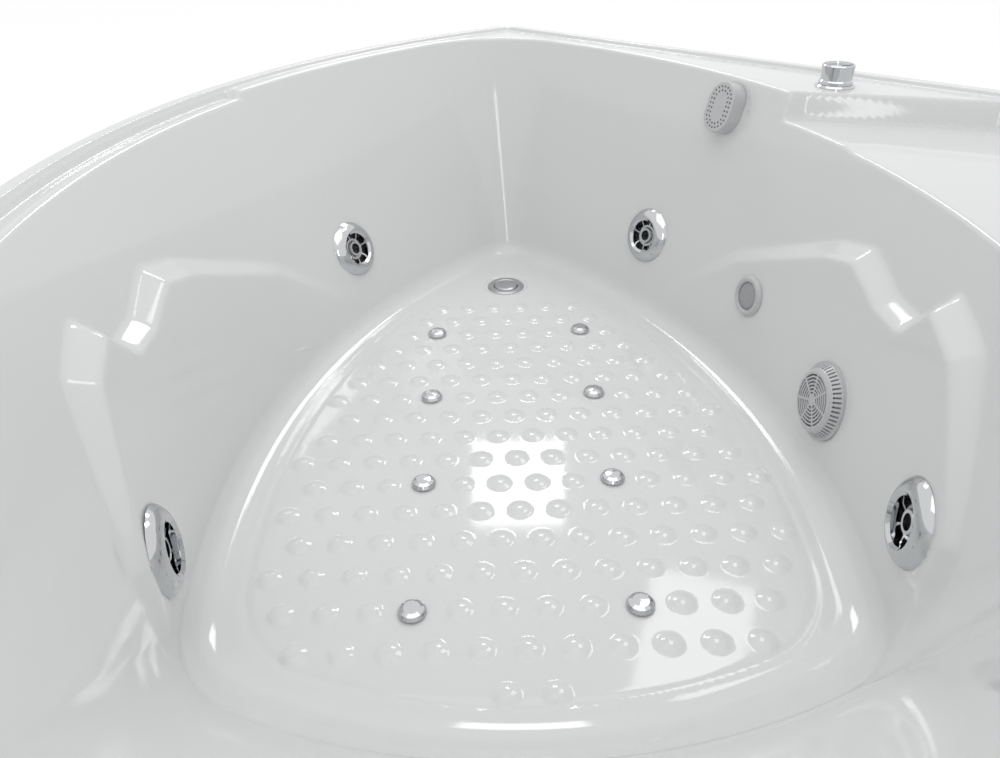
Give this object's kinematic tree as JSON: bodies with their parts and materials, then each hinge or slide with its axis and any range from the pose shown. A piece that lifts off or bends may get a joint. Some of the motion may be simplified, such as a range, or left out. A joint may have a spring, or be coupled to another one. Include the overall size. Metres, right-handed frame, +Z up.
{
  "type": "corner jetted bathtub",
  "caption": "Quadrant corner tub base with a leaning basin, side bolsters, corner seat, swivel water jets, domed floor air jets, drain, overflow, suction grille, pump and levelling feet.",
  "frame": {"origin": "centre of the bounding box at floor level", "axes": "+X along the long diagonal from the drain end to the head end; +Y towards the room corner; the curved front faces -Y; +Z up"},
  "size_m": [1.9092, 1.5294, 0.5853],
  "materials": {
    "acrylic_white": "high gloss sanitary acrylic",
    "board": "plain chipboard",
    "galvanised_steel": "galvanised",
    "zinc_steel": "zinc plated",
    "chrome_plated": "polished chrome plate",
    "chrome_satin": "satin plate",
    "rubber_black": "moulded",
    "abs_white": "moulded gloss",
    "abs_light_grey": "moulded satin",
    "lens_grey": "frosted",
    "pvc_white": "extruded pipe",
    "motor_black": "satin paint",
    "pump_grey": "glass-filled moulding"
  },
  "bodies": {
    "tub": {"air_blower": "motor_black", "air_jet_bodies": "abs_white", "air_jet_caps": "chrome_plated", "air_jet_nuts": "abs_white", "air_pipes": "pvc_white", "apron_panel": "acrylic_white", "base_board": "board", "blower_plate": "galvanised_steel", "drain_body": "abs_white", "drain_flange": "chrome_satin", "foot_nuts": "galvanised_steel", "frame_cross_rails": "galvanised_steel", "frame_long_rails": "galvanised_steel", "frame_posts": "galvanised_steel", "jet_bodies": "abs_white", "jet_gaskets": "rubber_black", "jet_nuts": "abs_white", "knob_flange": "chrome_plated", "knob_nut": "abs_white", "light_housing": "abs_white", "light_lens": "lens_grey", "light_nut": "abs_white", "light_trim": "abs_light_grey", "overflow_cover": "abs_light_grey", "overflow_housing": "abs_white", "overflow_pipe": "pvc_white", "pump_motor": "motor_black", "pump_mounts": "rubber_black", "pump_plate": "galvanised_steel", "pump_volute": "pump_grey", "suction_body": "abs_white", "suction_cover": "abs_light_grey", "suction_nut": "abs_white", "suction_pipe": "pvc_white", "tub_shell": "acrylic_white", "waste_nut": "abs_white", "waste_pipe": "pvc_white", "water_ring": "pvc_white"},
    "air_knob": {"air_knob": "chrome_plated"},
    "drain_plug": {"drain_plug": "chrome_satin"},
    "foot_1": {"foot_1": "zinc_steel"},
    "foot_2": {"foot_2": "zinc_steel"},
    "foot_3": {"foot_3": "zinc_steel"},
    "foot_4": {"foot_4": "zinc_steel"},
    "foot_5": {"foot_5": "zinc_steel"},
    "foot_6": {"foot_6": "zinc_steel"},
    "jet_nozzle_1": {"jet_nozzle_1": "chrome_plated"},
    "jet_nozzle_2": {"jet_nozzle_2": "chrome_plated"},
    "jet_nozzle_3": {"jet_nozzle_3": "chrome_plated"},
    "jet_nozzle_4": {"jet_nozzle_4": "chrome_plated"},
    "jet_trim_1": {"jet_trim_1": "chrome_plated"},
    "jet_trim_2": {"jet_trim_2": "chrome_plated"},
    "jet_trim_3": {"jet_trim_3": "chrome_plated"},
    "jet_trim_4": {"jet_trim_4": "chrome_plated"}
  },
  "joints": [
    {"name": "jet_trim_1_turn", "type": "hinge", "parent": "tub", "child": "jet_trim_1", "pos_m": [-0.462, -0.48317, 0.277], "axis": [0.4472, 0.8067, 0.3864], "range_deg": [0, 90]},
    {"name": "jet_nozzle_1_tilt", "type": "hinge", "parent": "jet_trim_1", "child": "jet_nozzle_1", "pos_m": [-0.46379, -0.48639, 0.27545], "axis": [-0.8746, 0.4848, 0], "range_deg": [-12, 12]},
    {"name": "jet_trim_2_turn", "type": "hinge", "parent": "tub", "child": "jet_trim_2", "pos_m": [0.269, -0.57341, 0.277], "axis": [-0.2378, 0.9665, 0.0963], "range_deg": [0, 90]},
    {"name": "jet_nozzle_2_tilt", "type": "hinge", "parent": "jet_trim_2", "child": "jet_nozzle_2", "pos_m": [0.26995, -0.57727, 0.27661], "axis": [-0.971, -0.2389, 0], "range_deg": [-12, 12]},
    {"name": "jet_trim_3_turn", "type": "hinge", "parent": "tub", "child": "jet_trim_3", "pos_m": [-0.485, 0.03651, 0.277], "axis": [0.493, -0.8245, 0.2778], "range_deg": [0, 90]},
    {"name": "jet_nozzle_3_tilt", "type": "hinge", "parent": "jet_trim_3", "child": "jet_nozzle_3", "pos_m": [-0.48697, 0.03981, 0.27589], "axis": [0.8583, 0.5132, 0], "range_deg": [-12, 12]},
    {"name": "jet_trim_4_turn", "type": "hinge", "parent": "tub", "child": "jet_trim_4", "pos_m": [0.263, 0.16587, 0.277], "axis": [-0.1731, -0.9769, 0.1256], "range_deg": [0, 90]},
    {"name": "jet_nozzle_4_tilt", "type": "hinge", "parent": "jet_trim_4", "child": "jet_nozzle_4", "pos_m": [0.26369, 0.16977, 0.2765], "axis": [0.9847, -0.1745, 0], "range_deg": [-12, 12]},
    {"name": "drain_plug_lift", "type": "slide", "parent": "tub", "child": "drain_plug", "axis": [0, 0, 1], "range_m": [0, 0.008]},
    {"name": "air_knob_turn", "type": "hinge", "parent": "tub", "child": "air_knob", "pos_m": [-0.363, 0.27, 0.57], "axis": [0, 0, 1], "range_deg": [0, 180]},
    {"name": "foot_1_height", "type": "slide", "parent": "tub", "child": "foot_1", "axis": [0, 0, 1], "range_m": [-0.02, 0.012]},
    {"name": "foot_2_height", "type": "slide", "parent": "tub", "child": "foot_2", "axis": [0, 0, 1], "range_m": [-0.02, 0.012]},
    {"name": "foot_3_height", "type": "slide", "parent": "tub", "child": "foot_3", "axis": [0, 0, 1], "range_m": [-0.02, 0.012]},
    {"name": "foot_4_height", "type": "slide", "parent": "tub", "child": "foot_4", "axis": [0, 0, 1], "range_m": [-0.02, 0.012]},
    {"name": "foot_5_height", "type": "slide", "parent": "tub", "child": "foot_5", "axis": [0, 0, 1], "range_m": [-0.02, 0.012]},
    {"name": "foot_6_height", "type": "slide", "parent": "tub", "child": "foot_6", "axis": [0, 0, 1], "range_m": [-0.02, 0.012]}
  ]
}
